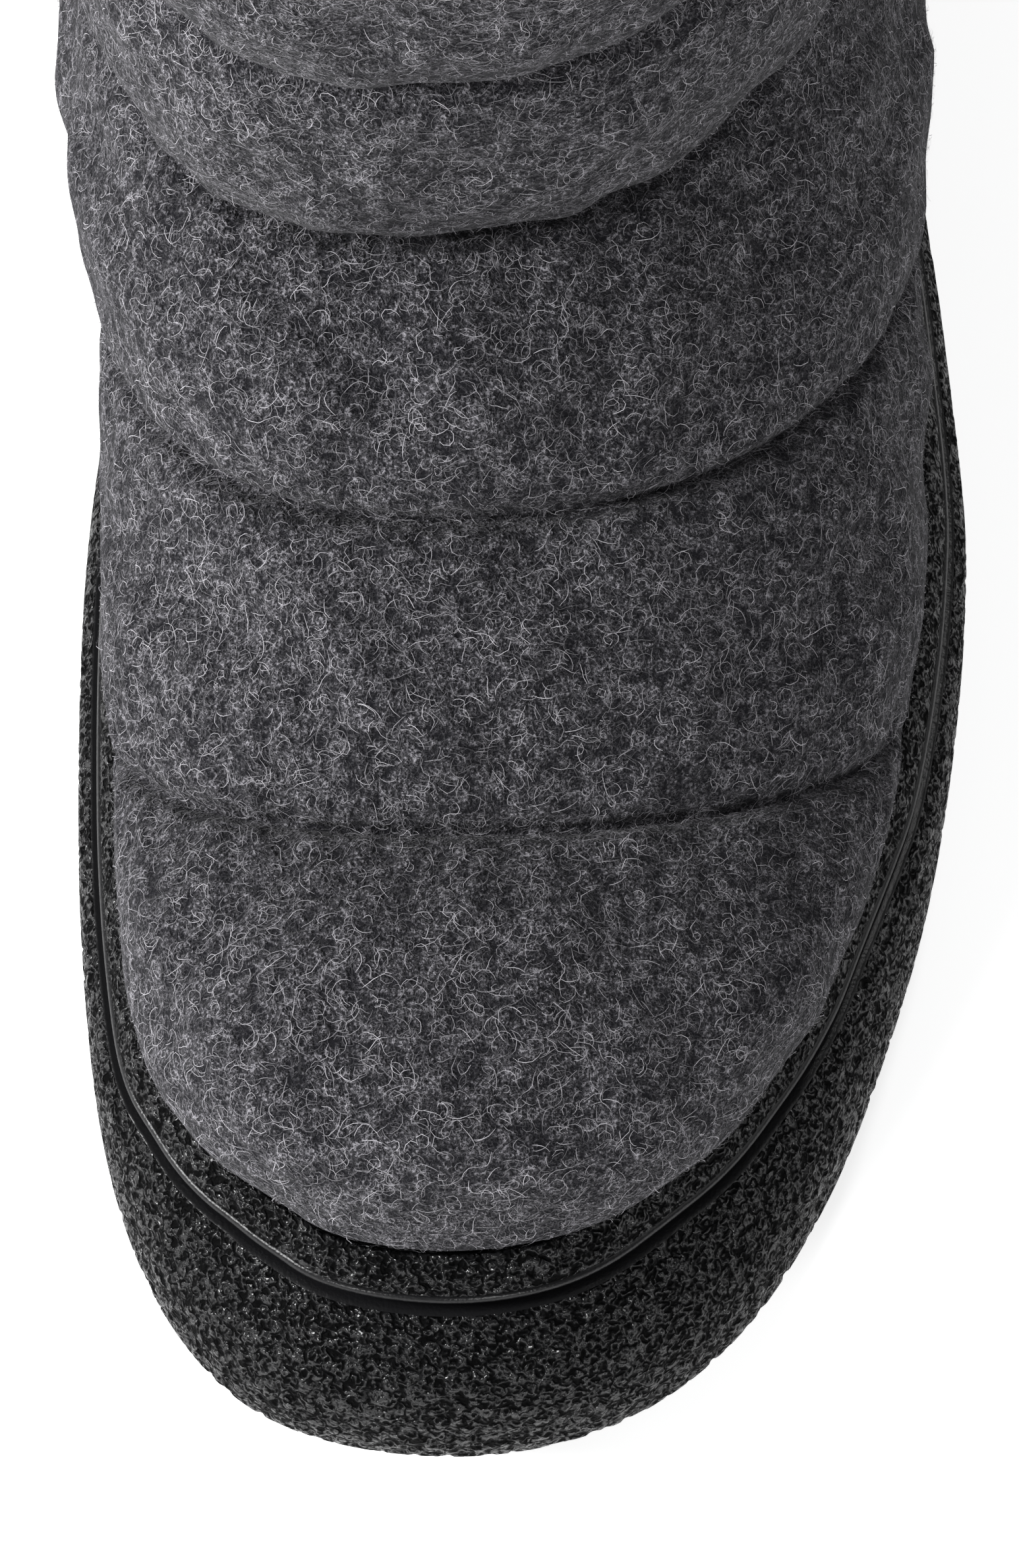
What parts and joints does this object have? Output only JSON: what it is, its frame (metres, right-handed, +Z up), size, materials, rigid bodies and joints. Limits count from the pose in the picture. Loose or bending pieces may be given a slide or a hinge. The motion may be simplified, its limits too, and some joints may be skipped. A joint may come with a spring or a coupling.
{
  "type": "textile boot",
  "caption": "Left pull-on winter boot with a quilted felt upper and a thick textured rubber cup sole.",
  "frame": {"origin": "on the floor, in the middle of the boot's length and width", "axes": "+Z up, toe towards -Y, outer (little toe) side towards +X"},
  "size_m": [0.1188, 0.296, 0.24],
  "materials": {
    "outsole": "glossy, pebbled",
    "midsole": "glossy, pebbled",
    "felt": "mottled curly wool felt",
    "lining": "soft felt"
  },
  "bodies": {
    "root": {"outsole": "outsole", "midsole": "midsole", "insole": "lining", "upper": "felt"}
  },
  "joints": []
}
